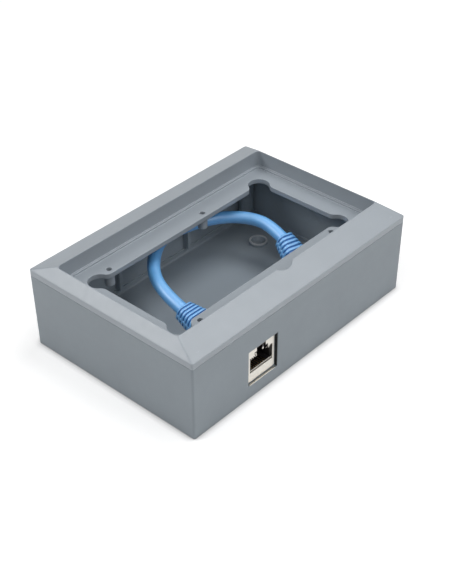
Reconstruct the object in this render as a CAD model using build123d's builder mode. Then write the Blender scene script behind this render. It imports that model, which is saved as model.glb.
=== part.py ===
from build123d import *
import math
import os

# Wall mount enclosure: a drafted back box, a bevelled front frame with a panel recess, a shielded
# coupler in one long wall and a short patch cord looped inside.
# The origin is the centre of the face that goes against the wall, +Z points into the room, +X runs
# along the long side and the coupler looks out toward -Y. Sizes are in millimetres.

# Case
case_length = 126.0
case_width = 86.0
case_height = 40.0
box_wall = 2.2
floor_thickness = 2.0
wall_draft = 0.35
outer_corner = 0.9
back_edge_round = 0.5
cavity_corner = 2.0
floor_cove = 1.0
foot_height = 4.5
foot_thickness = 0.5
parting_chamfer = 0.25

# Front frame
band_height = 2.5
bevel_rise = 4.0
bevel_short_side = 4.55
bevel_long_side = 11.25
recess_depth = 7.0
recess_corner = 2.0
shelf_width = 1.1
shelf_step = 0.9
ledge_thickness = 2.2
cutout_length = 97.7
cutout_width = 43.2
tub_wall = 2.0
bevel_skin = 2.0
skirt_thickness = 1.5
skirt_clearance = 0.2
rim_outer_corner = 0.2

# Wall fixings, reached through the four round lobes of the cut-out
fixing_x = 46.8
fixing_y = 21.2
fixing_hole = 3.9
fixing_boss = 8.0
fixing_boss_height = 1.5
countersink_width = 6.8
lobe_radius = 4.7
lobe_blend = 3.0

# Panel screws in the ledge
panel_screw_x = 38.9
panel_screw_y = 24.3
extra_screw_x = 14.5
panel_screw_hole = 2.4
panel_boss = 4.2
panel_boss_drop = 4.6

# Pry notch in the middle of the near rim
notch_radius = 6.2
notch_reach = 2.1
notch_depth = 3.0

# Corner pillars and the screws that hold the frame from behind
pillar_inset_x = 5.8
pillar_inset_y = 5.6
pillar_width = 6.6
pillar_foot_width = 9.0
pillar_foot_height = 7.0
frame_boss = 6.0
screw_bore = 3.3
screw_head_bore = 6.0
screw_head_seat = 5.5
screw_shank = 2.9
screw_length = 29.0
screw_head = 5.5
screw_head_height = 2.0
screw_drive_width = 0.9
screw_drive_length = 3.2
screw_drive_depth = 1.1
thread_clearance = 0.05
pilot_reserve = 0.6

# Guide ribs on the far wall
left_rib_x = -21.2
right_rib_x = 19.8
rib_thickness = 1.6
rib_reach = 2.9
rib_bottom = 5.3
rib_top = 26.0

# Coupler
coupler_x = -24.65
coupler_z = 14.45
coupler_width = 14.9
coupler_height = 14.8
coupler_length = 28.7
coupler_set_back = 1.2
coupler_gap = 0.95
shield_thickness = 0.5
shield_corner = 0.6
core_clearance = 0.05
core_set_back = 1.2
mouth_margin = 0.3
port_width = 12.2
port_height = 6.6
port_rise = 0.15
port_depth = 13.2
latch_slot_width = 4.6
latch_slot_shoulder = 7.0
latch_shoulder_height = 1.5
cradle_wall = 1.5
cradle_clearance = 0.15
cradle_length = 10.0
cradle_inset = 1.7
stop_width = 9.0
stop_height = 7.5
stop_thickness = 1.6

# Coupler contacts
contact_count = 8
contact_pitch = 1.02
contact_thickness = 0.34
contact_groove_width = 0.6
contact_groove_depth = 0.45
contact_root = 4.0
contact_span = 7.0
free_contact_rise = 2.3
pressed_contact_rise = 0.25

# Plugs
plug_width = 11.6
plug_height = 6.4
plug_length = 13.0
plug_seat_gap = 1.0
plug_corner = 0.5
tail_width = 7.0
tail_height = 4.6
tail_length = 4.6
tail_clearance = 0.1
latch_width = 6.0
latch_tip_width = 3.4
latch_thickness = 1.0
latch_start = 1.6
latch_catch = 7.4
latch_end = 12.4
latch_lift = 1.4
blade_slot_width = 0.62
blade_slot_length = 5.2
blade_slot_depth = 2.0
blade_thickness = 0.34
blade_height = 1.5
blade_length = 3.2
blade_start = 1.2

# Boots
boot_wide = (10.4, 8.0, 3.4)
boot_narrow = (7.6, 7.0, 3.4)
groove_count = 5
groove_pitch = 1.8
groove_first = 0.9
groove_width = 0.8
groove_depth = 0.7
rail_height = 1.0

# Patch cord: the points run from the jack boot round the far wall to the free boot.
cord_diameter = 5.4
cord_route = [
    (-24.6, -1.7, 16.8),
    (-23.2, 8.6, 19.3),
    (-17.4, 21.0, 20.5),
    (-7.4, 31.0, 20.4),
    (6.5, 35.2, 20.2),
    (20.6, 33.8, 20.2),
    (31.4, 28.0, 20.4),
    (38.4, 18.2, 20.6),
    (40.3, 8.6, 19.8),
    (38.6, 0.0, 17.4),
]
arc_share = 0.45
free_heading = 12.0
free_pitch = 29.0
free_roll = 6.0
free_boot_length = 12.0

# Levels and edges that follow from the sizes above
bevel_foot = case_height - bevel_rise
parting = bevel_foot - band_height
shelf_level = case_height - recess_depth
ledge_top = shelf_level - shelf_step
ledge_bottom = ledge_top - ledge_thickness
rim_length = case_length - 2 * bevel_short_side
rim_width = case_width - 2 * bevel_long_side
skirt_length = case_length - 2 * (box_wall + skirt_clearance)
skirt_width = case_width - 2 * (box_wall + skirt_clearance)
bevel_slope = bevel_rise / bevel_long_side
coupler_front = -case_width / 2 + coupler_set_back
coupler_rear = coupler_front + coupler_length
port_floor = coupler_z - port_height / 2 + port_rise
port_middle = port_floor + port_height / 2
pillar_top = ledge_bottom
pillar_x = case_length / 2 - pillar_inset_x
pillar_y = case_width / 2 - pillar_inset_y
corners = [(sx, sy) for sx in (-1, 1) for sy in (-1, 1)]
fixing_points = [(sx * fixing_x, sy * fixing_y) for sx, sy in corners]
pillar_points = [(sx * pillar_x, sy * pillar_y) for sx, sy in corners]
panel_screw_points = [
    (-panel_screw_x, -panel_screw_y),
    (panel_screw_x, -panel_screw_y),
    (-panel_screw_x, panel_screw_y),
    (extra_screw_x, panel_screw_y),
]

os.makedirs("parts", exist_ok=True)


def faces_at(build, level):
    """Level faces of a part at a height."""
    level_faces = build.faces().filter_by(Axis.Z)
    return level_faces.filter_by(lambda face: math.isclose(face.center().Z, level, abs_tol=0.01))


def bevel_height(y):
    """Level of the frame's long bevel at a distance y from the middle."""
    return bevel_foot + bevel_slope * (case_width / 2 - y)


# Back box
shoulder = parting - parting_chamfer
with BuildPart() as back_box:
    with BuildSketch(Plane.XY):
        RectangleRounded(case_length - 2 * wall_draft, case_width - 2 * wall_draft, outer_corner)
    with BuildSketch(Plane.XY.offset(shoulder)):
        RectangleRounded(case_length, case_width, outer_corner)
    loft(ruled=True)
    with BuildSketch(Plane.XY.offset(shoulder)):
        RectangleRounded(case_length, case_width, outer_corner)
    with BuildSketch(Plane.XY.offset(parting)):
        RectangleRounded(
            case_length - 2 * parting_chamfer, case_width - 2 * parting_chamfer, outer_corner
        )
    loft(ruled=True)
    fillet(faces_at(back_box, 0).edges(), back_edge_round)

    # Cavity, a little narrower at its foot
    cavity_inset = 2 * (wall_draft + box_wall)
    with BuildSketch(Plane.XY.offset(foot_height)):
        RectangleRounded(case_length - cavity_inset, case_width - cavity_inset, cavity_corner)
    with BuildSketch(Plane.XY.offset(parting)):
        RectangleRounded(case_length - 2 * box_wall, case_width - 2 * box_wall, cavity_corner)
    loft(ruled=True, mode=Mode.SUBTRACT)
    foot_inset = cavity_inset + 2 * foot_thickness
    with BuildSketch(Plane.XY.offset(floor_thickness)):
        RectangleRounded(case_length - foot_inset, case_width - foot_inset, cavity_corner)
    extrude(amount=foot_height - floor_thickness, mode=Mode.SUBTRACT)
    fillet(faces_at(back_box, floor_thickness).edges(), floor_cove)

    # Opening in the near wall round the coupler
    with BuildSketch(Plane.XZ.offset(case_width / 2)):
        with Locations((coupler_x, coupler_z)):
            Rectangle(coupler_width + 2 * coupler_gap, coupler_height + 2 * coupler_gap)
    extrude(amount=-(wall_draft + box_wall), mode=Mode.SUBTRACT)

    # Cradle behind the opening, on a foot that stands on the floor, with a stop behind the coupler
    cradle_inside = coupler_width + 2 * cradle_clearance
    cradle_outside = cradle_inside + 2 * cradle_wall
    cradle_top = coupler_z + coupler_height / 2 + cradle_clearance + cradle_wall
    root = floor_thickness / 2
    with BuildSketch(Plane.XZ.offset(case_width / 2 - cradle_inset)):
        with Locations((coupler_x, (cradle_top + root) / 2)):
            Rectangle(cradle_outside, cradle_top - root)
        with Locations((coupler_x, coupler_z)):
            Rectangle(cradle_inside, coupler_height + 2 * cradle_clearance, mode=Mode.SUBTRACT)
    extrude(amount=-cradle_length)
    with BuildSketch(Plane.XY.offset(root)):
        with Locations((coupler_x, coupler_rear + cradle_clearance + stop_thickness / 2)):
            Rectangle(stop_width, stop_thickness)
    extrude(amount=stop_height)

    # Guide ribs up the far wall
    rib_root = case_width / 2 - box_wall / 2
    rib_face = case_width / 2 - wall_draft - box_wall - rib_reach
    rib_y = (rib_face + rib_root) / 2
    with BuildSketch(Plane.XY.offset(rib_bottom)):
        with Locations((left_rib_x, rib_y), (right_rib_x, rib_y)):
            Rectangle(rib_thickness, rib_root - rib_face)
    extrude(amount=rib_top - rib_bottom)

    # Corner pillars on wider feet, bored from behind for the frame screws
    with BuildSketch(Plane.XY.offset(root)):
        with Locations(*pillar_points):
            Circle(pillar_width / 2)
    extrude(amount=pillar_top - root)
    with BuildSketch(Plane.XY.offset(root)):
        with Locations(*pillar_points):
            Circle(pillar_foot_width / 2)
    extrude(amount=pillar_foot_height - root)
    with BuildSketch(Plane.XY):
        with Locations(*pillar_points):
            Circle(screw_bore / 2)
    extrude(amount=pillar_top, mode=Mode.SUBTRACT)
    with BuildSketch(Plane.XY):
        with Locations(*pillar_points):
            Circle(screw_head_bore / 2)
    extrude(amount=screw_head_seat, mode=Mode.SUBTRACT)

    # Raised, countersunk fixing holes in the floor
    fixing_top = floor_thickness + fixing_boss_height
    with BuildSketch(Plane.XY.offset(root)):
        with Locations(*fixing_points):
            Circle(fixing_boss / 2)
    extrude(amount=fixing_top - root)
    with Locations(*[(x, y, fixing_top) for x, y in fixing_points]):
        CounterSinkHole(fixing_hole / 2, countersink_width / 2, depth=fixing_top)

# Front frame
with BuildPart() as front_frame:
    with BuildSketch(Plane.XY.offset(parting)):
        RectangleRounded(case_length, case_width, outer_corner)
    extrude(amount=band_height)
    with BuildSketch(Plane.XY.offset(bevel_foot)):
        RectangleRounded(case_length, case_width, outer_corner)
    with BuildSketch(Plane.XY.offset(case_height)):
        RectangleRounded(rim_length, rim_width, rim_outer_corner)
    loft(ruled=True)

    # Skirt and tub below the parting line, with a hollow under each long bevel
    with BuildSketch(Plane.XY.offset(ledge_bottom)):
        RectangleRounded(skirt_length, skirt_width, cavity_corner)
    extrude(amount=parting - ledge_bottom)
    tub_face = rim_width / 2 + tub_wall
    skirt_face = skirt_width / 2 - skirt_thickness
    for side in (-1, 1):
        with BuildSketch(Plane.YZ.offset(-rim_length / 2)):
            with BuildLine():
                Polyline(
                    (side * tub_face, ledge_bottom),
                    (side * skirt_face, ledge_bottom),
                    (side * skirt_face, bevel_height(skirt_face) - bevel_skin),
                    (side * tub_face, bevel_height(tub_face) - bevel_skin),
                    close=True,
                )
            make_face()
        extrude(amount=rim_length, mode=Mode.SUBTRACT)
    boss_top = bevel_height(pillar_y) - bevel_skin / 2
    with BuildSketch(Plane.XY.offset(ledge_bottom)):
        with Locations(*pillar_points):
            Circle(frame_boss / 2)
    extrude(amount=boss_top - ledge_bottom)

    # Panel recess, its narrow shelf and the lobed cut-out in the ledge
    with BuildSketch(Plane.XY.offset(shelf_level)):
        RectangleRounded(rim_length, rim_width, recess_corner)
    extrude(amount=recess_depth, mode=Mode.SUBTRACT)
    with BuildSketch(Plane.XY.offset(ledge_top)):
        RectangleRounded(rim_length - 2 * shelf_width, rim_width - 2 * shelf_width, recess_corner)
    extrude(amount=shelf_step, mode=Mode.SUBTRACT)
    with BuildSketch(Plane.XY.offset(ledge_bottom)) as cutout:
        Rectangle(cutout_length, cutout_width)
        with Locations(*fixing_points):
            Circle(lobe_radius)
        fillet(cutout.vertices(), lobe_blend)
    extrude(amount=ledge_thickness, mode=Mode.SUBTRACT)

    # Pry notch
    with BuildSketch(Plane.XY.offset(case_height - notch_depth)):
        with Locations((0, -rim_width / 2 - notch_reach + notch_radius)):
            Circle(notch_radius)
    extrude(amount=notch_depth, mode=Mode.SUBTRACT)

    # Panel screw bosses under the ledge
    with BuildSketch(Plane.XY.offset(ledge_bottom - panel_boss_drop)):
        with Locations(*panel_screw_points):
            Circle(panel_boss / 2)
    extrude(amount=panel_boss_drop)
    with BuildSketch(Plane.XY.offset(ledge_bottom - panel_boss_drop)):
        with Locations(*panel_screw_points):
            Circle(panel_screw_hole / 2)
    extrude(amount=panel_boss_drop + ledge_thickness, mode=Mode.SUBTRACT)

    # Pilot holes for the frame screws
    pilot_depth = screw_head_seat + screw_length - ledge_bottom + pilot_reserve
    with BuildSketch(Plane.XY.offset(ledge_bottom)):
        with Locations(*pillar_points):
            Circle(screw_shank / 2 + thread_clearance)
    extrude(amount=pilot_depth, mode=Mode.SUBTRACT)

# Frame screws, one in each corner pillar
with BuildPart() as frame_screws:
    with BuildSketch(Plane.XY.offset(screw_head_seat)):
        with Locations(*pillar_points):
            Circle(screw_shank / 2)
    extrude(amount=screw_length)
    with BuildSketch(Plane.XY.offset(screw_head_seat - screw_head_height)):
        with Locations(*pillar_points):
            Circle(screw_head / 2)
    extrude(amount=screw_head_height)
    with BuildSketch(Plane.XY.offset(screw_head_seat - screw_head_height)):
        with Locations(*pillar_points):
            Rectangle(screw_drive_length, screw_drive_width)
            Rectangle(screw_drive_width, screw_drive_length)
    extrude(amount=screw_drive_depth, mode=Mode.SUBTRACT)


def draw_port(margin):
    """Adds the plug-shaped port with a margin round it: a wide mouth below a stepped latch slot."""
    slot_top = coupler_height / 2 - shield_thickness
    mouth_top = port_middle - coupler_z + port_height / 2 + margin
    with Locations((0, port_middle - coupler_z)):
        Rectangle(port_width + 2 * margin, port_height + 2 * margin)
    with Locations((0, mouth_top)):
        Rectangle(latch_slot_shoulder + 2 * margin, 2 * latch_shoulder_height)
    with Locations((0, slot_top / 2)):
        Rectangle(latch_slot_width + 2 * margin, slot_top)


# Sheet metal shield round the coupler, open at both ports
front_plane = Plane(origin=(coupler_x, coupler_front, coupler_z), x_dir=(-1, 0, 0), z_dir=(0, 1, 0))
with BuildPart() as coupler_shield:
    with BuildSketch(front_plane):
        RectangleRounded(coupler_width, coupler_height, shield_corner)
    extrude(amount=coupler_length)
    with BuildSketch(front_plane.offset(shield_thickness)):
        Rectangle(coupler_width - 2 * shield_thickness, coupler_height - 2 * shield_thickness)
    extrude(amount=coupler_length - 2 * shield_thickness, mode=Mode.SUBTRACT)
    with BuildSketch(front_plane):
        draw_port(mouth_margin)
    extrude(amount=coupler_length, mode=Mode.SUBTRACT)

# Moulded core with a port at each end and a groove in the port floor for every contact
core_inset = shield_thickness + core_clearance
contact_row = [(i - (contact_count - 1) / 2) * contact_pitch for i in range(contact_count)]
with BuildPart() as coupler_core:
    with BuildSketch(front_plane.offset(core_set_back)):
        Rectangle(coupler_width - 2 * core_inset, coupler_height - 2 * core_inset)
    extrude(amount=coupler_length - 2 * core_set_back)
    for mouth, inward in ((front_plane, 1), (front_plane.offset(coupler_length), -1)):
        with BuildSketch(mouth):
            draw_port(0)
        extrude(amount=inward * port_depth, mode=Mode.SUBTRACT)
        with BuildSketch(mouth):
            with Locations(*[(x, port_floor - coupler_z) for x in contact_row]):
                Rectangle(contact_groove_width, 2 * contact_groove_depth)
        extrude(amount=inward * port_depth, mode=Mode.SUBTRACT)


def contact_springs(mouth_y, inward, rise):
    """One spring for each line: its root lies in a groove and its end stands up by the rise."""
    root_level = contact_thickness / 2 - contact_groove_depth
    root_start = core_set_back + contact_thickness
    root_end = root_start + contact_root
    with BuildPart() as springs:
        for x in contact_row:
            origin = (coupler_x + x, mouth_y, port_floor)
            with BuildSketch(Plane(origin=origin, x_dir=(0, inward, 0), z_dir=(inward, 0, 0))):
                with BuildLine():
                    Polyline(
                        (root_start, root_level),
                        (root_end, root_level),
                        (root_end + contact_span, rise),
                    )
                trace(line_width=contact_thickness)
            extrude(amount=contact_thickness / 2, both=True)
    return springs.part


def plug_body(seat):
    """Plug with its latch; the seat is the middle of the nose and its Z runs toward the tail."""
    profile = Plane(origin=seat.origin, x_dir=seat.z_dir, z_dir=-seat.x_dir)
    latch_root = (plug_height - latch_thickness) / 2
    with BuildPart() as plug:
        with BuildSketch(seat):
            RectangleRounded(plug_width, plug_height, plug_corner)
        extrude(amount=plug_length)
        with BuildSketch(seat.offset(plug_length)):
            RectangleRounded(tail_width, tail_height, plug_corner)
        extrude(amount=tail_length)
        with BuildSketch(profile):
            with BuildLine():
                Line((latch_start, latch_root), (latch_end, latch_root + latch_lift + latch_thickness))
            trace(line_width=latch_thickness)
        extrude(amount=latch_width / 2, both=True)
        notch = (latch_width - latch_tip_width) / 2
        with BuildSketch(seat.offset(latch_catch)):
            for side in (-1, 1):
                with Locations((side * (latch_width - notch) / 2, plug_height)):
                    Rectangle(notch, plug_height)
        extrude(amount=plug_length - latch_catch, mode=Mode.SUBTRACT)
        with BuildSketch(seat):
            with Locations(*[(x, -plug_height / 2) for x in contact_row]):
                Rectangle(blade_slot_width, 2 * blade_slot_depth)
        extrude(amount=blade_slot_length, mode=Mode.SUBTRACT)
    return plug.part


def plug_blades(seat):
    """Contact blades in the slots of a plug."""
    blade_level = blade_slot_depth - (plug_height + blade_height) / 2
    with BuildPart() as blades:
        with BuildSketch(seat.offset(blade_start)):
            with Locations(*[(x, blade_level) for x in contact_row]):
                Rectangle(blade_thickness, blade_height)
        extrude(amount=blade_length)
    return blades.part


def boot_station(seat, cord_exit, share):
    """Plane and section of a boot at a share of its length, from the plug to the cord's exit."""
    start = seat.offset(plug_length)
    origin = start.origin + (cord_exit.origin - start.origin) * share
    normal = start.z_dir * (1 - share) + cord_exit.z_dir * share
    section = [wide + (narrow - wide) * share for wide, narrow in zip(boot_wide, boot_narrow)]
    return Plane(origin=origin, x_dir=seat.x_dir, z_dir=normal), section


def strain_relief(seat, cord_exit):
    """Tapered boot over the tail of a plug, with cross grooves that a rail on each side bridges."""
    length = (cord_exit.origin - seat.offset(plug_length).origin).length
    with BuildPart() as boot:
        for share in (0, 1):
            plane, (width, height, corner) = boot_station(seat, cord_exit, share)
            with BuildSketch(plane):
                RectangleRounded(width, height, corner)
        loft(ruled=True)
        for i in range(groove_count):
            share = 1 - (groove_first + i * groove_pitch) / length
            plane, (width, height, corner) = boot_station(seat, cord_exit, share)
            with BuildSketch(plane):
                Rectangle(2 * width, 2 * height)
                RectangleRounded(
                    width - 2 * groove_depth,
                    height - 2 * groove_depth,
                    corner - groove_depth,
                    mode=Mode.SUBTRACT,
                )
                Rectangle(2 * width, rail_height, mode=Mode.SUBTRACT)
            extrude(amount=groove_width / 2, both=True, mode=Mode.SUBTRACT)
        with BuildSketch(seat.offset(plug_length)):
            RectangleRounded(
                tail_width + 2 * tail_clearance, tail_height + 2 * tail_clearance, plug_corner
            )
        extrude(amount=tail_length + tail_clearance, mode=Mode.SUBTRACT)
    return boot.part


def arc_radius(before, corner, after):
    """Radius of the arc at a corner of the route: as large as its two runs allow."""
    arriving = Vector(*corner) - Vector(*before)
    leaving = Vector(*after) - Vector(*corner)
    half_turn = math.radians(arriving.get_angle(leaving)) / 2
    return arc_share * min(arriving.length, leaving.length) / math.tan(half_turn)


# Patch cord, from the back of the coupler round the far wall to the free plug
cord_radii = [arc_radius(*cord_route[i : i + 3]) for i in range(len(cord_route) - 2)]
first, second = Vector(*cord_route[0]), Vector(*cord_route[1])
last, before_last = Vector(*cord_route[-1]), Vector(*cord_route[-2])
with BuildPart() as patch_cord:
    with BuildLine() as cord_path:
        FilletPolyline(*cord_route, radius=cord_radii)
    with BuildSketch(Plane(origin=first, z_dir=second - first)):
        Circle(cord_diameter / 2)
    sweep()
print("cord radii", [round(radius, 1) for radius in cord_radii])
print("cord length", round(cord_path.wires()[0].length, 1))

# Where the two plugs lie: one is pushed into the inner port, the other rests on the floor.
jack_nose_y = coupler_rear - plug_length + plug_seat_gap
jack_nose_z = port_floor + (port_height - plug_height) / 2 + plug_height / 2
jack_seat = Plane(origin=(coupler_x, jack_nose_y, jack_nose_z), x_dir=(-1, 0, 0), z_dir=(0, 1, 0))
jack_exit = Plane(origin=first, x_dir=(-1, 0, 0), z_dir=second - first)
heading, pitch = math.radians(free_heading), math.radians(free_pitch)
free_axis = Vector(
    math.sin(heading) * math.cos(pitch), math.cos(heading) * math.cos(pitch), math.sin(pitch)
)
across = Vector(-math.cos(heading), math.sin(heading), 0)
free_nose = last - free_axis * (plug_length + free_boot_length)
free_seat = Plane(origin=free_nose, x_dir=across, z_dir=free_axis).rotated((0, 0, free_roll))
free_exit = Plane(origin=last, x_dir=free_seat.x_dir, z_dir=before_last - last)

back_box.part.label = "back_box"
front_frame.part.label = "front_frame"
frame_screws.part.label = "frame_screws"
coupler_shield.part.label = "coupler_shield"
coupler_core.part.label = "coupler_core"
patch_cord.part.label = "patch_cord"
export_step(back_box.part, "parts/back_box.step")
export_step(front_frame.part, "parts/front_frame.step")
export_step(frame_screws.part, "parts/frame_screws.step")
export_step(coupler_shield.part, "parts/coupler_shield.step")
export_step(coupler_core.part, "parts/coupler_core.step")
export_step(patch_cord.part, "parts/patch_cord.step")

pieces = {
    "outer_contacts": contact_springs(coupler_front, 1, free_contact_rise),
    "inner_contacts": contact_springs(coupler_rear, -1, pressed_contact_rise),
    "jack_plug": plug_body(jack_seat),
    "jack_plug_blades": plug_blades(jack_seat),
    "jack_boot": strain_relief(jack_seat, jack_exit),
    "free_plug": plug_body(free_seat),
    "free_plug_blades": plug_blades(free_seat),
    "free_boot": strain_relief(free_seat, free_exit),
}
for name, piece in pieces.items():
    piece.label = name
    export_step(piece, f"parts/{name}.step")
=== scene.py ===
import math

import bpy
from mathutils import Matrix, Vector


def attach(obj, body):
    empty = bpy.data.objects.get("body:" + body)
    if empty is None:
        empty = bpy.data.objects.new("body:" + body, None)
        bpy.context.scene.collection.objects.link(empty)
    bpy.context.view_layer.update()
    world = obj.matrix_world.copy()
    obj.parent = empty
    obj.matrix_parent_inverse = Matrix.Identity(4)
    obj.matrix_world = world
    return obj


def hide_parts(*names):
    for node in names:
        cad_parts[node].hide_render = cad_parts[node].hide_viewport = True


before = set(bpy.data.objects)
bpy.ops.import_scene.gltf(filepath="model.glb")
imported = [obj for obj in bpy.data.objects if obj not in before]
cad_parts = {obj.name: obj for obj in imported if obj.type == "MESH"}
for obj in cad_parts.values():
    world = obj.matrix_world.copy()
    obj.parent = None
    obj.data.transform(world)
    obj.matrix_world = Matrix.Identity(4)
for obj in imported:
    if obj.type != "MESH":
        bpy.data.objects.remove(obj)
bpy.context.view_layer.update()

MM = 0.001
BODY = "root"

# Camera, solved from the outer corners of the case: focal length in picture heights, direction and place
FOCAL_PIXELS = 1223.1
PICTURE_HEIGHT_PIXELS = 584
FOCAL_HEIGHTS = FOCAL_PIXELS / PICTURE_HEIGHT_PIXELS
SENSOR_MM = 36.0
CAMERA_CLIP_START = 0.01
CAMERA_AZIMUTH = math.radians(42.30)
CAMERA_ELEVATION = math.radians(36.64)
CAMERA_ROLL = math.radians(-0.51)
CAMERA_PLACE = Vector((-294.75, -269.97, 308.52)) * MM

# Patch cord: the route of its tube, from the boot behind the coupler to the boot of the free plug
CORD_DIAMETER = 5.4 * MM
CORD_ROUND_STEPS = 7
CORD_RUN_STEPS = 24
CORD_ROUTE_MM = [
    (-24.6, -1.7, 16.8),
    (-24.1, 9.2, 19.3),
    (-18.3, 21.8, 21.0),
    (-5.2, 32.2, 22.2),
    (6.3, 36.0, 20.8),
    (20.6, 33.8, 20.2),
    (31.4, 28.0, 20.4),
    (38.4, 18.2, 20.6),
    (40.3, 8.6, 19.8),
    (38.6, 0.0, 17.4),
]

# Boots: section as width, height and corner at the plug and at the cord, and the grooves across them
BOOT_WIDE_MM = (12.3, 8.8, 2.6)
BOOT_NARROW_MM = (8.3, 7.0, 2.5)
BOOT_TAIL_MM = (7.2, 4.8, 0.5)
BOOT_TAIL_DEPTH_MM = 4.7
GROOVE_COUNT = 5
GROOVE_FIRST_MM = 1.0
GROOVE_PITCH_MM = 1.75
# Half of a groove's section: distance from its middle and depth, to be mirrored
GROOVE_PROFILE_MM = [(-0.46, 0.0), (-0.38, 0.07), (-0.30, 0.45), (-0.18, 0.85)]
RAIL_HALF_MM = 0.5
RAIL_FLANK_MM = 0.12
CORNER_STEPS = 7
JACK_END = Vector((-24.65, -12.1, 14.6))
JACK_AXIS = Vector((0, 1, 0))
JACK_ACROSS = Vector((-1, 0, 0))
FREE_END = Vector((36.42, -10.27, 11.58))
FREE_AXIS = Vector((0.1818, 0.8555, 0.4848))
FREE_ACROSS = Vector((-0.9833, 0.1572, 0.0914))
# Replaced node: middle of the plug end, its axis and direction across, the route's end and the next point
BOOTS_MM = {
    "jack_boot": (JACK_END, JACK_AXIS, JACK_ACROSS, CORD_ROUTE_MM[0], CORD_ROUTE_MM[1]),
    "free_boot": (FREE_END, FREE_AXIS, FREE_ACROSS, CORD_ROUTE_MM[-1], CORD_ROUTE_MM[-2]),
}

# Mouth of the coupler: its face and the sheet fingers that hang from the upper edge of the port
FACE_Y_MM = -41.8
SHEET_MM = 0.15
MOUTH_TOP_MM = 18.2
MOUTH_LEFT_MM = -31.05
MOUTH_RIGHT_MM = -18.25
# Fingers and latch: place along the face, root level, drop, widths at the root and the tip, slant of the tip
FINGERS_MM = [
    (-30.60, MOUTH_TOP_MM, 1.10, 0.75, 0.25, 0.75),
    (-29.60, MOUTH_TOP_MM, 1.10, 0.75, 0.25, 0.75),
    (-28.60, 18.45, 1.35, 0.75, 0.25, 0.75),
    (-27.80, 19.2, 2.00, 0.70, 0.25, 0.65),
    (-21.25, MOUTH_TOP_MM, 0.60, 0.70, 0.30, -0.30),
    (-20.00, MOUTH_TOP_MM, 1.15, 0.95, 0.35, -0.30),
]
FINGER_LEAN_MM = 0.25
LATCH_TAB_MM = (-23.75, 19.6, 1.2, 0.75, 0.85, 0.35)
# The latch stem is black sheet, painted shade over the shaded upper part of the tab
LATCH_STEM_MM = (-23.75, 21.2, 1.6, 0.5, 0.75, 0.0)
LIP_LOW_MM = 11.45
LIP_HIGH_MM = 11.75
LIP_SET_BACK_MM = 0.3
LIP_DEPTH_MM = 0.35
# Strips, each between two opposite corners
# Black strip on the port's right side wall: painted shade for the deep dark gap there
SHADE_STRIP_MM = ((-16.34, -42.55, 6.2), (-16.27, -41.2, 22.7))
SILL_MM = ((-32.0, -42.7, 6.12), (-17.3, -41.75, 6.3))

# Faces of a block whose corners are given round its lower end, then round its upper end
BLOCK_FACES = [(0, 3, 2, 1), (4, 5, 6, 7), (0, 1, 5, 4), (1, 2, 6, 5), (2, 3, 7, 6), (3, 0, 4, 7)]

# Collars round the countersinks of the wall fixings, their light grey a highlight painted on the boss tops:
# places and closed profile as radius and height
FIXINGS_MM = [(-46.8, -21.2), (46.8, -21.2), (46.8, 21.2), (-46.8, 21.2)]
COLLAR_PROFILE_MM = [(4.04, 3.0), (4.04, 3.60), (3.30, 3.62), (3.24, 3.3), (3.34, 3.1), (3.7, 3.0)]
COLLAR_STEPS = 32

# Floor and surround
FLOOR_HALF = 3.0
FLOOR_COLOUR = (0.86, 0.86, 0.86, 1)
FLOOR_ROUGHNESS = 0.9
FLOOR_GLOW = 0.39
# Contact shadow painted on the floor near the case: its reach, its colour and its samples
CONTACT_REACH_MM = 3.0
PAINTED_CONTACT_SHADOW = (0.30, 0.30, 0.31, 1)
CONTACT_SAMPLES = 16
SURROUND_LEVEL = 0.06
SURROUND_SEEN = {"Is Camera Ray": 1.0, "Is Glossy Ray": 0.45, "Is Transmission Ray": 1.0}

# Softboxes: name, direction from the point they look at, size in metres and watts
SOFTBOX_AIM = Vector((0, 0, 0.02))
SOFTBOX_DISTANCE = 1.0
SOFTBOXES = [
    ("key_softbox", (0.40, -0.15, 0.90), 0.6, 4.2),
    ("top_softbox", (-0.3, -0.1, 0.95), 0.6, 1.35),
    ("far_left_softbox", (-0.52, 0.54, 0.66), 0.45, 3.7),
    ("camera_softbox", (-0.6, -0.5, 0.62), 0.6, 0.8),
    ("front_softbox", (0.1, -0.8, 0.6), 0.6, 2.45),
]

# Colours
CASE_GREY = (0.285, 0.325, 0.358)
FRAME_GREY = (0.360, 0.400, 0.440)
INNER_HALF_MM = (61.4, 41.4)  # inside these half sizes the case's colour is painted lighter, as painted light for the little more light its inner faces catch than its outer ones
CORD_BLUE = (0.145, 0.490, 1.000)
# Painted shade: the vinyl darkens to this blue in its grooves and where other parts are near, within this
# reach
GROOVE_SHADE_BLUE = (0.015, 0.120, 0.400, 1)
GROOVE_SHADE_MM = 1.2
# Collar grey: the case's plastic painted much lighter, as painted highlight on the tops of the fixing bosses
COLLAR_HIGHLIGHT_GREY = (0.62, 0.64, 0.65)
NICKEL = (0.72, 0.69, 0.63)
GOLD = (0.85, 0.60, 0.26)
ZINC = (0.60, 0.61, 0.62)
CLEAR_DEEP = (0.80, 0.88, 0.94, 1)
CLEAR_PALE = (0.90, 0.95, 0.98, 1)
BLACK_DEEP = (0.010, 0.010, 0.011, 1)
BLACK_WARM = (0.018, 0.017, 0.016, 1)

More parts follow.
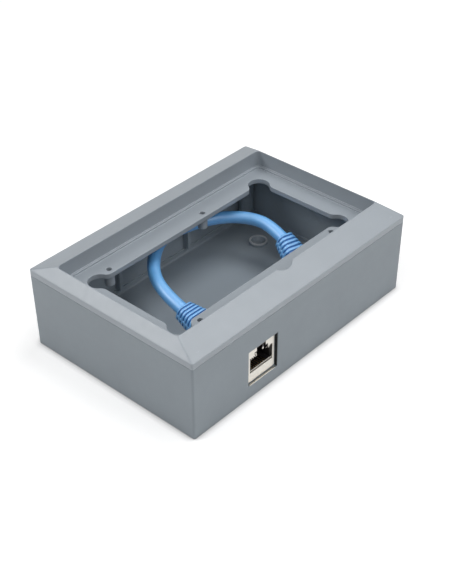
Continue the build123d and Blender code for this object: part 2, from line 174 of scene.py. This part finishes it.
# Finishes: sizes of the grain, depths and strengths of the relief, and radii of the softened edges
EDGE_SAMPLES = 6
EDGE_REACH = 0.12
MOTTLE_MM = 14
SHINE_PATCH_MM = 3
GRAIN_MM = 0.45
GRAIN_DEPTH_MM = 0.012
FINE_GRAIN_MM = 0.18
FINE_GRAIN_DEPTH_MM = 0.006
GRAIN_STRENGTH = 0.4
VINYL_FLOW_MM = 4
VINYL_PATCH_MM = 1.2
VINYL_GRAIN_MM = 0.5
GROOVE_SAMPLES = 8
ROLLING_MM = 0.22
ROLLING_DEPTH_MM = 0.012
PLATE_PATCH_MM = 1.5
PLATE_EDGE_MM = 0.15
SWIRL_MM = 2.5
SWIRL_DEPTH_MM = 0.03
PLUG_EDGE_MM = 0.2
CORE_FLOW_MM = 1.6
CORE_GRAIN_MM = 0.4
CORE_EDGE_MM = 0.12
SOFT_DEPTH_MM = 0.02
SOFT_STRENGTH = 0.5
COLLAR_EDGE_MM = 0.15
CASE_EDGE_MM = 0.35
FRAME_EDGE_MM = 0.6

# Finishes: shades over the grain as factors of the colour, and roughness from its low to its high places
MOTTLE_SHADES = (0.97, 1.03)
GRAIN_SHADE = 0.96
GRAIN_SHARE = 0.4
MOULDED_SPREAD = (-0.03, 0.04)
VINYL_SHADES = (0.94, 1.05)
VINYL_ROUGHNESS = (0.44, 0.52)
GROOVE_OPENNESS = (0.35, 0.8)
PLATE_SHADES = (0.9, 1.06)
PLATE_SPREAD = (-0.05, 0.08)
CLEAR_ROUGHNESS = (0.06, 0.16)
BLACK_ROUGHNESS = (0.34, 0.48)


def make_camera():
    """Camera at the photograph's place, looking along its azimuth and down by its elevation."""
    forward = Vector((
        math.cos(CAMERA_ELEVATION) * math.cos(CAMERA_AZIMUTH),
        math.cos(CAMERA_ELEVATION) * math.sin(CAMERA_AZIMUTH),
        -math.sin(CAMERA_ELEVATION),
    ))
    data = bpy.data.cameras.new("camera")
    data.sensor_width = SENSOR_MM
    data.lens = FOCAL_HEIGHTS * SENSOR_MM
    data.clip_start = CAMERA_CLIP_START
    camera = bpy.data.objects.new("camera", data)
    turn = forward.to_track_quat("-Z", "Y").to_matrix().to_4x4()
    camera.matrix_world = Matrix.Translation(CAMERA_PLACE) @ turn @ Matrix.Rotation(CAMERA_ROLL, 4, "Z")
    bpy.context.collection.objects.link(camera)
    bpy.context.scene.camera = camera


def boot_ring(section, depth):
    """Section of a boot, drawn in by a groove's depth except on the rail along each side."""
    width, height, corner = section
    half, rise, radius = width / 2 - depth, height / 2 - depth, corner - depth
    quarter = [(width / 2, RAIL_HALF_MM), (half, RAIL_HALF_MM + RAIL_FLANK_MM)]
    for step in range(CORNER_STEPS + 1):
        turn = math.pi / 2 * step / CORNER_STEPS
        quarter.append((half - radius * (1 - math.cos(turn)), rise - radius * (1 - math.sin(turn))))
    quarter.append(((half - radius) / 2, rise))
    left = [(-x, y) for x, y in reversed(quarter)]
    return quarter + left + [(-x, -y) for x, y in quarter + left]


def make_boot(name, start, axis, across, cord_end, cord_next, material):
    """Soft boot from a plug to the cord, flared to the plug, with grooves that the side rails bridge."""
    cord_end, cord_next = Vector(cord_end), Vector(cord_next)
    exit_axis = (cord_next - cord_end).normalized()
    length = (cord_end - start).length
    stops = [(0.0, 0.0)]
    for groove in range(GROOVE_COUNT):
        middle = length - GROOVE_FIRST_MM - (GROOVE_COUNT - 1 - groove) * GROOVE_PITCH_MM
        stops += [(middle + distance, depth) for distance, depth in GROOVE_PROFILE_MM]
        stops += [(middle - distance, depth) for distance, depth in reversed(GROOVE_PROFILE_MM)]
    stops.append((length, 0.0))
    rings = []
    for place, depth in stops:
        share = place / length
        section = [wide + (narrow - wide) * share for wide, narrow in zip(BOOT_WIDE_MM, BOOT_NARROW_MM)]
        rings.append((share, boot_ring(section, depth)))
    pocket = boot_ring(BOOT_TAIL_MM, 0)
    rings = [(BOOT_TAIL_DEPTH_MM / length, pocket), (0.0, pocket), *rings]
    corners = []
    for share, ring in rings:
        normal = (axis * (1 - share) + exit_axis * share).normalized()
        side = (across - normal * across.dot(normal)).normalized()
        rise = normal.cross(side)
        middle = start.lerp(cord_end, share)
        corners += [middle + side * x + rise * y for x, y in ring]
    count = len(pocket)
    faces = [tuple(reversed(range(count)))]
    for ring in range(len(rings) - 1):
        for i in range(count):
            j = (i + 1) % count
            low = ring * count
            faces.append((low + i, low + j, low + count + j, low + count + i))
    faces.append(tuple(range((len(rings) - 1) * count, len(rings) * count)))
    return add_piece(name + "_vinyl", corners, faces, material, name)


def make_cord(material):
    """Jacket of the patch cord as one smooth spline over the points of its route."""
    data = bpy.data.curves.new("patch_cord_jacket", "CURVE")
    data.dimensions = "3D"
    data.bevel_depth = CORD_DIAMETER / 2
    data.bevel_resolution = CORD_ROUND_STEPS
    data.resolution_u = CORD_RUN_STEPS
    data.use_fill_caps = True
    spline = data.splines.new("NURBS")
    spline.points.add(len(CORD_ROUTE_MM) - 1)
    for point, place in zip(spline.points, CORD_ROUTE_MM):
        point.co = (*(Vector(place) * MM), 1.0)
    spline.order_u = 3
    spline.use_endpoint_u = True
    spline.use_smooth = True
    data.materials.append(material)
    cord = bpy.data.objects.new("patch_cord_jacket", data)
    bpy.context.collection.objects.link(cord)
    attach(cord, BODY)
    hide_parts("patch_cord")


def add_piece(name, corners_mm, faces, material, replaced=None):
    """A small fixed piece of real geometry, given in millimetres, that rides on the case."""
    mesh = bpy.data.meshes.new(name)
    mesh.from_pydata([Vector(corner) * MM for corner in corners_mm], [], faces)
    mesh.materials.append(material)
    mesh.update()
    piece = bpy.data.objects.new(name, mesh)
    bpy.context.collection.objects.link(piece)
    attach(piece, BODY)
    if replaced:
        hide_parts(replaced)
        mesh.shade_smooth()
    return piece


def finger_corners(place, root, drop, root_width, tip_width, slant, lean=FINGER_LEAN_MM):
    """Corners of a tapered sheet finger that hangs from the port's edge and leans into the port."""
    corners = []
    ends = ((place + slant, root - drop, tip_width, lean), (place, root, root_width, 0))
    for middle, level, width, lean in ends:
        for side, depth in ((-1, 0), (1, 0), (1, SHEET_MM), (-1, SHEET_MM)):
            corners.append((middle + side * width / 2, FACE_Y_MM + lean + depth, level))
    return corners


def block_corners(low, high):
    """Corners of a thin strip between two opposite corners."""
    (x0, y0, z0), (x1, y1, z1) = low, high
    return [(x, y, z) for z in (z0, z1) for x, y in ((x0, y0), (x1, y0), (x1, y1), (x0, y1))]


def make_mouth(material, black):
    """Sheet fingers, latch tab, folded lip, sill, and a black side strip and latch stem put in as painted
    shade, in the mouth of the coupler.
    """
    corners, faces = [], []
    for finger in [*FINGERS_MM, LATCH_TAB_MM]:
        start = len(corners)
        corners += finger_corners(*finger)
        faces += [tuple(start + i for i in face) for face in BLOCK_FACES]
    add_piece("mouth_fingers", corners, faces, material)
    near = FACE_Y_MM + LIP_SET_BACK_MM
    lip = ((MOUTH_LEFT_MM, near, LIP_LOW_MM), (MOUTH_RIGHT_MM, near + LIP_DEPTH_MM, LIP_HIGH_MM))
    add_piece("mouth_lip", block_corners(*lip), BLOCK_FACES, material)
    add_piece("mouth_sill", block_corners(*SILL_MM), BLOCK_FACES, material)
    # Painted shade: black strip on the side wall of the port.
    add_piece("mouth_shade_strip", block_corners(*SHADE_STRIP_MM), BLOCK_FACES, black)
    # Painted shade: the latch stem is black where the tab runs up into shadow.
    add_piece("latch_stem", finger_corners(*LATCH_STEM_MM, lean=0), BLOCK_FACES, black)


def make_collars(material):
    """Turned collars round the countersinks of the four wall fixings."""
    corners, faces = [], []
    count = len(COLLAR_PROFILE_MM)
    for x, y in FIXINGS_MM:
        start = len(corners)
        for step in range(COLLAR_STEPS):
            turn = 2 * math.pi * step / COLLAR_STEPS
            corners += [(x + r * math.cos(turn), y + r * math.sin(turn), z) for r, z in COLLAR_PROFILE_MM]
            low, high = start + step * count, start + (step + 1) % COLLAR_STEPS * count
            for i in range(count):
                j = (i + 1) % count
                faces.append((low + i, high + i, high + j, low + j))
    add_piece("fixing_collars", corners, faces, material)


class Finish:
    """A node material with one Principled shader, and short calls for the nodes that vary it."""

    def __init__(self, name, **sockets):
        self.material = bpy.data.materials.new(name)
        self.material.use_nodes = True
        self.tree = self.material.node_tree
        self.shader = self.tree.nodes["Principled BSDF"]
        self.place = self.add("ShaderNodeTexCoord").outputs["Object"]
        for socket, value in sockets.items():
            self.shader.inputs[socket.replace("_", " ")].default_value = value

    def add(self, kind, inputs=(), **settings):
        """Adds a node, sets its properties, and links or sets the inputs given as pairs."""
        node = self.tree.nodes.new(kind)
        for key, value in settings.items():
            setattr(node, key, value)
        for socket, value in inputs:
            if isinstance(value, bpy.types.NodeSocket):
                self.tree.links.new(value, node.inputs[socket])
            else:
                node.inputs[socket].default_value = value
        return node

    def link(self, output, socket):
        """Links an output to a socket of the shader."""
        self.tree.links.new(output, self.shader.inputs[socket])

    def noise(self, grain, detail=2.0, stretch=(1, 1, 1)):
        """Noise whose grains are about that many metres across, drawn out along an axis by stretch."""
        scaled = self.add("ShaderNodeMapping", [("Vector", self.place), ("Scale", stretch)])
        pairs = [("Vector", scaled.outputs[0]), ("Scale", 1 / grain), ("Detail", detail)]
        return self.add("ShaderNodeTexNoise", pairs).outputs["Fac"]

    def spread(self, value, low, high, start=0.3, end=0.7):
        """Maps a value from start..end to low..high."""
        pairs = [("Value", value), ("From Min", start), ("From Max", end), ("To Min", low), ("To Max", high)]
        return self.add("ShaderNodeMapRange", pairs).outputs[0]

    def blend_colours(self, factor, first, second):
        """Blends two colours, each a value or an output, by a factor."""
        pairs = [("Factor", factor), ("A", first), ("B", second)]
        node = self.tree.nodes.new("ShaderNodeMix")
        node.data_type = "RGBA"
        sockets = {"Factor": node.inputs[0], "A": node.inputs[6], "B": node.inputs[7]}
        for name, value in pairs:
            if isinstance(value, bpy.types.NodeSocket):
                self.tree.links.new(value, sockets[name])
            else:
                sockets[name].default_value = value
        return node.outputs[2]

    def round_edges(self, radius):
        """Surface direction softened across edges, as on a moulding's small radii."""
        return self.add("ShaderNodeBevel", [("Radius", radius)], samples=EDGE_SAMPLES).outputs[0]

    def edge_mask(self, rounded):
        """1 along sharp edges, where the rounded direction turns away from the flat one."""
        flat = self.add("ShaderNodeNewGeometry").outputs["True Normal"]
        dot = self.add("ShaderNodeVectorMath", operation="DOT_PRODUCT")
        self.tree.links.new(rounded, dot.inputs[0])
        self.tree.links.new(flat, dot.inputs[1])
        return self.spread(dot.outputs["Value"], 1.0, 0.0, 1 - EDGE_REACH, 1.0)

    def inside(self, half_x, half_y):
        """1 within a box round the middle, given by its half sizes in millimetres, and 0 outside it."""
        axes = self.add("ShaderNodeSeparateXYZ", [("Vector", self.place)]).outputs
        shares = []
        for axis, half in (("X", half_x), ("Y", half_y)):
            size = self.add("ShaderNodeMath", [(0, axes[axis])], operation="ABSOLUTE").outputs[0]
            pairs = [(0, size), (1, half * MM)]
            shares.append(self.add("ShaderNodeMath", pairs, operation="DIVIDE").outputs[0])
        largest = self.add("ShaderNodeMath", list(enumerate(shares)), operation="MAXIMUM").outputs[0]
        return self.spread(largest, 1.0, 0.0, 0.99, 1.0)

    def bump(self, height, distance, strength, normal=None):
        """Relief from a height, on top of another surface direction where one is given."""
        pairs = [("Height", height), ("Distance", distance), ("Strength", strength)]
        if normal is not None:
            pairs.append(("Normal", normal))
        return self.add("ShaderNodeBump", pairs).outputs[0]


def shade(colour, factor):
    """A colour made lighter or darker, with full alpha."""
    return (*(min(1.0, part * factor) for part in colour), 1.0)


def moulded_plastic(name, colour, roughness, gloss, painted_edge_highlight, edge_radius, painted_inner_light=1.0):
    """Matt moulded plastic: a fine eroded texture, faint mottling, and a highlight painted into the colour
    along its edges.
    """
    finish = Finish(name, Specular_IOR_Level=gloss)
    rounded = finish.round_edges(edge_radius)
    mottle = finish.spread(finish.noise(MOTTLE_MM * MM, 3), 0.0, 1.0)
    base = finish.blend_colours(mottle, *(shade(colour, part) for part in MOTTLE_SHADES))
    grain = finish.noise(GRAIN_MM * MM, 3)
    base = finish.blend_colours(finish.spread(grain, 0.0, GRAIN_SHARE), base, shade(colour, GRAIN_SHADE))
    # Painted highlight: the colour is lightened along sharp edges, where the rounded direction turns away
    # from the flat one.
    edge = finish.spread(finish.edge_mask(rounded), 0.0, 1.0, 0.0, 1.0)
    base = finish.blend_colours(edge, base, shade(colour, painted_edge_highlight))
    # Painted light: the case's colour is lighter inside its cavity.
    if painted_inner_light != 1:
        base = finish.blend_colours(finish.inside(*INNER_HALF_MM), base, shade(colour, painted_inner_light))
    finish.link(base, "Base Color")
    patches = finish.noise(SHINE_PATCH_MM * MM)
    finish.link(finish.spread(patches, *(roughness + part for part in MOULDED_SPREAD)), "Roughness")
    texture = finish.bump(grain, GRAIN_DEPTH_MM * MM, GRAIN_STRENGTH, rounded)
    fine = finish.noise(FINE_GRAIN_MM * MM, 2)
    finish.link(finish.bump(fine, FINE_GRAIN_DEPTH_MM * MM, GRAIN_STRENGTH, texture), "Normal")
    return finish.material


def soft_plastic(name, colour):
    """Soft blue vinyl of the cord and its boots: glossy, with fine flow marks and shade painted darker into
    its grooves.
    """
    finish = Finish(name, Specular_IOR_Level=1.0, Coat_Weight=1.0, Coat_Roughness=0.46, Coat_IOR=1.8)
    flow = finish.noise(VINYL_FLOW_MM * MM, 3)
    shades = [shade(colour, part) for part in VINYL_SHADES]
    base = finish.blend_colours(finish.spread(flow, 0.0, 1.0), *shades)
    # Painted shade in grooves and crevices, from how open the surface is.
    pairs = [("Distance", GROOVE_SHADE_MM * MM)]
    openness = finish.add("ShaderNodeAmbientOcclusion", pairs, samples=GROOVE_SAMPLES)
    shadow = finish.spread(openness.outputs["AO"], 1.0, 0.0, *GROOVE_OPENNESS)
    finish.link(finish.blend_colours(shadow, base, GROOVE_SHADE_BLUE), "Base Color")
    finish.link(finish.spread(finish.noise(VINYL_PATCH_MM * MM, 3), *VINYL_ROUGHNESS), "Roughness")
    grain = finish.noise(VINYL_GRAIN_MM * MM, 3)
    finish.link(finish.bump(grain, SOFT_DEPTH_MM * MM, SOFT_STRENGTH), "Normal")
    return finish.material


def plated_sheet(name, colour, roughness, stretch=(1, 1, 1)):
    """Plated metal with fine rolling marks, drawn out along an axis where stretch says so."""
    finish = Finish(name, Metallic=1.0)
    rounded = finish.round_edges(PLATE_EDGE_MM * MM)
    marks = finish.noise(ROLLING_MM * MM, 4, stretch)
    shades = [shade(colour, part) for part in PLATE_SHADES]
    finish.link(finish.blend_colours(finish.spread(marks, 0.0, 1.0), *shades), "Base Color")
    patches = finish.noise(PLATE_PATCH_MM * MM, 3)
    finish.link(finish.spread(patches, *(roughness + part for part in PLATE_SPREAD)), "Roughness")
    finish.link(finish.bump(marks, ROLLING_DEPTH_MM * MM, 0.5, rounded), "Normal")
    return finish.material


def clear_plastic(name):
    """Clear moulded plug, a little blue, with soft swirls in its gloss."""
    finish = Finish(name, Transmission_Weight=0.85, IOR=1.58)
    swirl = finish.noise(SWIRL_MM * MM, 3)
    finish.link(finish.blend_colours(finish.spread(swirl, 0, 1), CLEAR_DEEP, CLEAR_PALE), "Base Color")
    finish.link(finish.spread(swirl, *CLEAR_ROUGHNESS), "Roughness")
    rounded = finish.round_edges(PLUG_EDGE_MM * MM)
    finish.link(finish.bump(swirl, SWIRL_DEPTH_MM * MM, 0.4, rounded), "Normal")
    return finish.material


def black_moulding(name):
    """Black moulded core of the coupler, satin with a faint flow texture."""
    finish = Finish(name)
    flow = finish.noise(CORE_FLOW_MM * MM, 3)
    finish.link(finish.blend_colours(finish.spread(flow, 0, 1), BLACK_DEEP, BLACK_WARM), "Base Color")
    finish.link(finish.spread(flow, *BLACK_ROUGHNESS), "Roughness")
    grain = finish.noise(CORE_GRAIN_MM * MM, 3)
    rounded = finish.round_edges(CORE_EDGE_MM * MM)
    finish.link(finish.bump(grain, SOFT_DEPTH_MM * MM, SOFT_STRENGTH, rounded), "Normal")
    return finish.material


def paint_node(name, material):
    """Gives a CAD node its finish in every slot of its mesh."""
    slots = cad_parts[name].data.materials
    if not slots:
        slots.append(material)
    for i in range(len(slots)):
        slots[i] = material


def make_floor():
    """Pale floor that glows to the camera up to white, keeps the case's shadow from the lamps, and has a
    contact shadow painted into its colour and glow where the case is near.
    """
    finish = Finish("floor_white", Roughness=FLOOR_ROUGHNESS, Specular_IOR_Level=0.0)
    # Painted contact shadow: colour and glow darken where the case is within reach, but not under the case.
    pairs = [("Distance", CONTACT_REACH_MM * MM)]
    openness = finish.add("ShaderNodeAmbientOcclusion", pairs, samples=CONTACT_SAMPLES)
    pairs = [(0, openness.outputs["AO"]), (1, finish.inside(*INNER_HALF_MM))]
    light = finish.add("ShaderNodeMath", pairs, operation="MAXIMUM").outputs[0]
    finish.link(finish.blend_colours(light, PAINTED_CONTACT_SHADOW, FLOOR_COLOUR), "Base Color")
    glow = finish.add("ShaderNodeEmission", [("Color", light), ("Strength", FLOOR_GLOW)]).outputs[0]
    lit = finish.shader.outputs[0]
    both = finish.add("ShaderNodeAddShader", [(0, lit), (1, glow)]).outputs[0]
    rays = finish.add("ShaderNodeLightPath").outputs
    pairs = [(0, rays["Is Camera Ray"]), (1, rays["Is Glossy Ray"])]
    seen = finish.add("ShaderNodeMath", pairs, operation="MAXIMUM").outputs[0]
    mixed = finish.add("ShaderNodeMixShader", [(0, seen), (1, lit), (2, both)]).outputs[0]
    finish.tree.links.new(mixed, finish.tree.nodes["Material Output"].inputs["Surface"])
    mesh = bpy.data.meshes.new("floor")
    half = FLOOR_HALF
    corners = [(-half, -half, 0), (half, -half, 0), (half, half, 0), (-half, half, 0)]
    mesh.from_pydata(corners, [], [(0, 1, 2, 3)])
    mesh.materials.append(finish.material)
    floor = bpy.data.objects.new("floor", mesh)
    bpy.context.collection.objects.link(floor)


def make_world():
    """Even studio surround: white where it is seen, pale where it is mirrored, weak as light on the case."""
    world = bpy.data.worlds.new("studio")
    bpy.context.scene.world = world
    world.use_nodes = True
    tree = world.node_tree
    background = tree.nodes["Background"]
    background.inputs["Color"].default_value = (1, 1, 1, 1)
    rays = tree.nodes.new("ShaderNodeLightPath")
    strength = None
    for name, level in SURROUND_SEEN.items():
        add = tree.nodes.new("ShaderNodeMath")
        add.operation = "MULTIPLY_ADD"
        tree.links.new(rays.outputs[name], add.inputs[0])
        add.inputs[1].default_value = level - SURROUND_LEVEL
        add.inputs[2].default_value = SURROUND_LEVEL
        if strength:
            tree.links.new(strength, add.inputs[2])
        strength = add.outputs[0]
    tree.links.new(strength, background.inputs["Strength"])


def make_softbox(name, direction, size, power):
    """Square softbox that looks at the middle of the case from a direction."""
    direction = Vector(direction)
    data = bpy.data.lights.new(name, "AREA")
    data.shape = "SQUARE"
    data.size = size
    data.energy = power
    lamp = bpy.data.objects.new(name, data)
    place = SOFTBOX_AIM + direction.normalized() * SOFTBOX_DISTANCE
    turn = (-direction).to_track_quat("-Z", "Y").to_matrix().to_4x4()
    lamp.matrix_world = Matrix.Translation(place) @ turn
    bpy.context.collection.objects.link(lamp)


make_camera()
blue = soft_plastic("cord_jacket_blue", CORD_BLUE)
boot_blue = soft_plastic("boot_blue_vinyl", CORD_BLUE)
boots = [make_boot(name, *ends, boot_blue) for name, ends in BOOTS_MM.items()]
make_cord(blue)
gold = plated_sheet("gold_wire", GOLD, roughness=0.25)
clear = clear_plastic("clear_polycarbonate")
nickel = plated_sheet("nickel_plate", NICKEL, roughness=0.34, stretch=(1, 1, 0.15))
black = black_moulding("core_black")
make_mouth(nickel, black)
# Painted highlight: the collars are much lighter than the case.
make_collars(moulded_plastic(
    "collar_highlight_moulding", COLLAR_HIGHLIGHT_GREY, roughness=0.35, gloss=0.5, painted_edge_highlight=1.2,
    edge_radius=COLLAR_EDGE_MM * MM,
))
case_moulding = moulded_plastic(
    "case_moulding", CASE_GREY, roughness=0.45, gloss=0.4, painted_edge_highlight=1.12, edge_radius=CASE_EDGE_MM * MM,
    painted_inner_light=1.14,
)
frame_moulding = moulded_plastic(
    "frame_moulding", FRAME_GREY, roughness=0.31, gloss=0.5, painted_edge_highlight=1.3, edge_radius=FRAME_EDGE_MM * MM,
)
for node, material in {
    "back_box": case_moulding,
    "front_frame": frame_moulding,
    "frame_screws": plated_sheet("zinc_plate", ZINC, roughness=0.35),
    "coupler_shield": nickel,
    "coupler_core": black,
    "outer_contacts": gold,
    "inner_contacts": gold,
    "jack_plug": clear,
    "free_plug": clear,
    "jack_plug_blades": gold,
    "free_plug_blades": gold,
}.items():
    paint_node(node, material)

make_floor()
make_world()
for softbox in SOFTBOXES:
    make_softbox(*softbox)
bpy.context.scene.view_settings.view_transform = "Standard"
